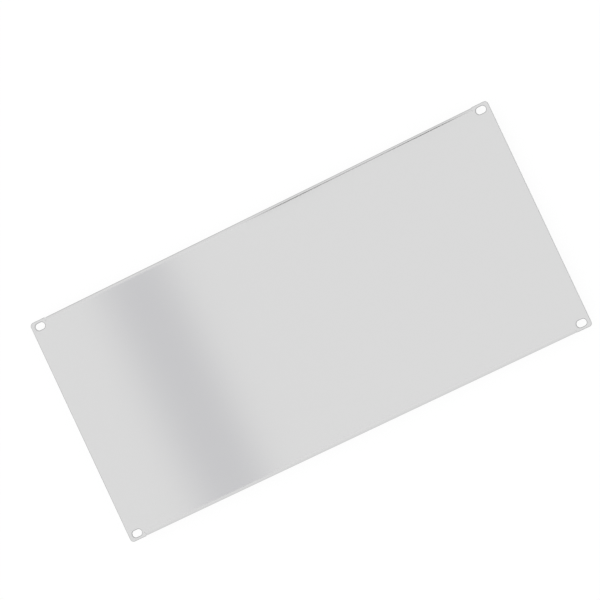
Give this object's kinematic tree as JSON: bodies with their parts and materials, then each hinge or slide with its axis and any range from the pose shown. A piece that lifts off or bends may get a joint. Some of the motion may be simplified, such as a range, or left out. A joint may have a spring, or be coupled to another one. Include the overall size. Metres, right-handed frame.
{
  "type": "rack blanking panel",
  "caption": "Flanged sheet-metal panel that closes unused space at the front of an equipment rack, with slotted fixing ears at both ends.",
  "frame": {"origin": "under the middle of the panel, at the free edges of its two flanges, on which it lies", "axes": "+X along the panel's length, +Y up the rack, +Z out of the front of the face"},
  "size_m": [0.4826, 0.2214, 0.012],
  "materials": {
    "satin_aluminium": "fine satin grain along the panel's length, clear anodised"
  },
  "bodies": {
    "root": {"blanking_panel": "satin_aluminium"}
  },
  "joints": []
}
